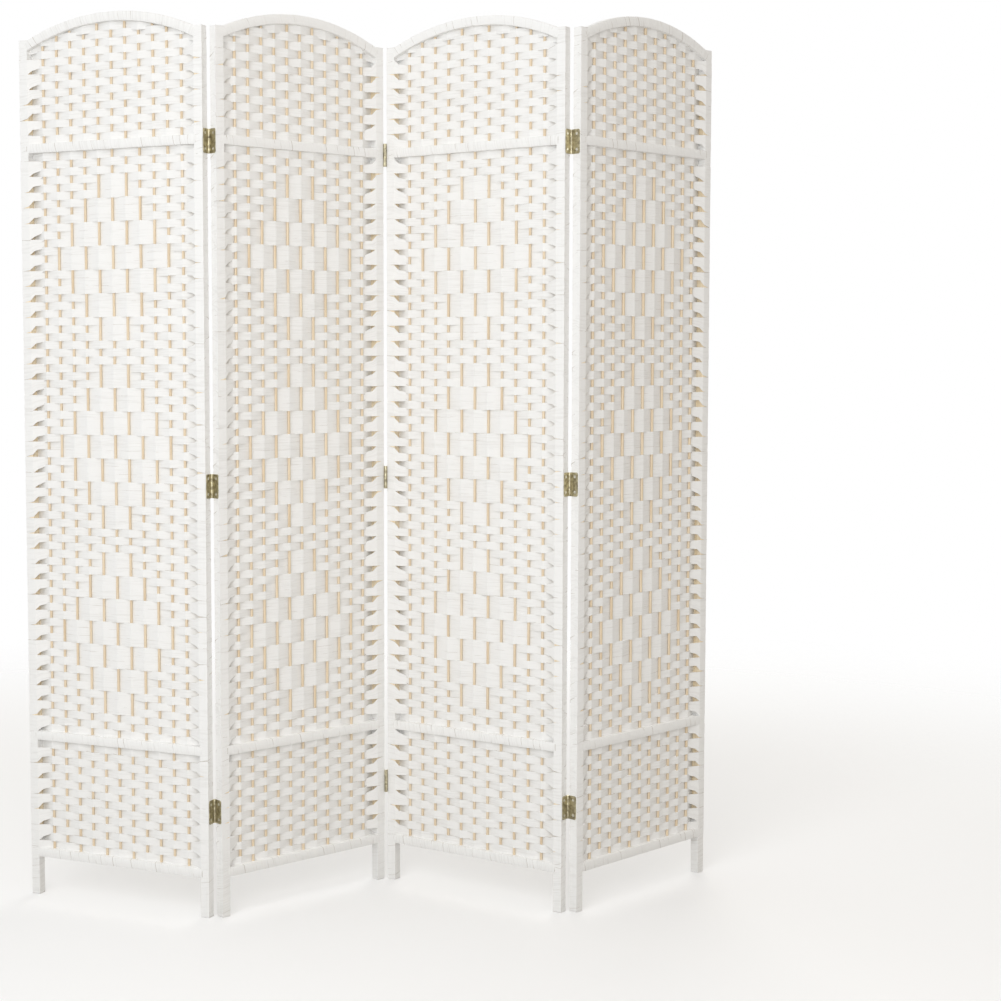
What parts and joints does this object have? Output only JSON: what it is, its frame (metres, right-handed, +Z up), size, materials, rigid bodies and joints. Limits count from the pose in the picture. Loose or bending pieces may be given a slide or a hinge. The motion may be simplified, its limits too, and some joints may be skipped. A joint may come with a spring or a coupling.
{
  "type": "folding screen",
  "caption": "Folding room screen: hinged wooden panels with arched tops, woven with pale paper strip over thin upright rods, standing in a zigzag on square legs.",
  "frame": {"origin": "middle of the standing screen's plan, on the floor", "axes": "+Z up, +X along the screen's length from panel 1 to panel 4, -Y towards the side that the picture shows"},
  "size_m": [1.3542, 0.2966, 1.7],
  "materials": {
    "frame_wood": "plain softwood under paper",
    "rod_wood": "bare, satin",
    "paper_strip": "matt, creased along its length",
    "aged_brass": "aged brass plating",
    "plated_steel": "bright plated"
  },
  "bodies": {
    "panel_1": {"panel_1_bottom_rail": "frame_wood", "panel_1_hinge_leaves": "aged_brass", "panel_1_hinge_screws": "plated_steel", "panel_1_left_post": "frame_wood", "panel_1_lower_rail": "frame_wood", "panel_1_lower_weave": "paper_strip", "panel_1_middle_weave": "paper_strip", "panel_1_post_windings": "paper_strip", "panel_1_right_post": "frame_wood", "panel_1_top_arch": "frame_wood", "panel_1_upper_rail": "frame_wood", "panel_1_upper_weave": "paper_strip", "panel_1_warp_rods": "rod_wood"},
    "panel_2": {"panel_2_bottom_rail": "frame_wood", "panel_2_hinge_leaves": "aged_brass", "panel_2_hinge_screws": "plated_steel", "panel_2_left_post": "frame_wood", "panel_2_lower_rail": "frame_wood", "panel_2_lower_weave": "paper_strip", "panel_2_middle_weave": "paper_strip", "panel_2_post_windings": "paper_strip", "panel_2_right_post": "frame_wood", "panel_2_top_arch": "frame_wood", "panel_2_upper_rail": "frame_wood", "panel_2_upper_weave": "paper_strip", "panel_2_warp_rods": "rod_wood", "joint_1_hinge_pins": "plated_steel", "joint_2_hinge_pins": "plated_steel"},
    "panel_3": {"panel_3_bottom_rail": "frame_wood", "panel_3_hinge_leaves": "aged_brass", "panel_3_hinge_screws": "plated_steel", "panel_3_left_post": "frame_wood", "panel_3_lower_rail": "frame_wood", "panel_3_lower_weave": "paper_strip", "panel_3_middle_weave": "paper_strip", "panel_3_post_windings": "paper_strip", "panel_3_right_post": "frame_wood", "panel_3_top_arch": "frame_wood", "panel_3_upper_rail": "frame_wood", "panel_3_upper_weave": "paper_strip", "panel_3_warp_rods": "rod_wood", "joint_3_hinge_pins": "plated_steel"},
    "panel_4": {"panel_4_bottom_rail": "frame_wood", "panel_4_hinge_leaves": "aged_brass", "panel_4_hinge_screws": "plated_steel", "panel_4_left_post": "frame_wood", "panel_4_lower_rail": "frame_wood", "panel_4_lower_weave": "paper_strip", "panel_4_middle_weave": "paper_strip", "panel_4_post_windings": "paper_strip", "panel_4_right_post": "frame_wood", "panel_4_top_arch": "frame_wood", "panel_4_upper_rail": "frame_wood", "panel_4_upper_weave": "paper_strip", "panel_4_warp_rods": "rod_wood"}
  },
  "joints": [
    {"name": "joint_1_fold", "type": "hinge", "parent": "panel_2", "child": "panel_1", "pos_m": [-0.30545, -0.12949, 0.8], "axis": [0, 0, -1], "range_deg": [-64, 116]},
    {"name": "joint_2_fold", "type": "hinge", "parent": "panel_2", "child": "panel_3", "pos_m": [0.02551, 0.10182, 0.8], "axis": [0, 0, -1], "range_deg": [-75, 105]},
    {"name": "joint_3_fold", "type": "hinge", "parent": "panel_3", "child": "panel_4", "pos_m": [0.36433, -0.1178, 0.8], "axis": [0, 0, 1], "range_deg": [-78.5, 101.5]}
  ]
}
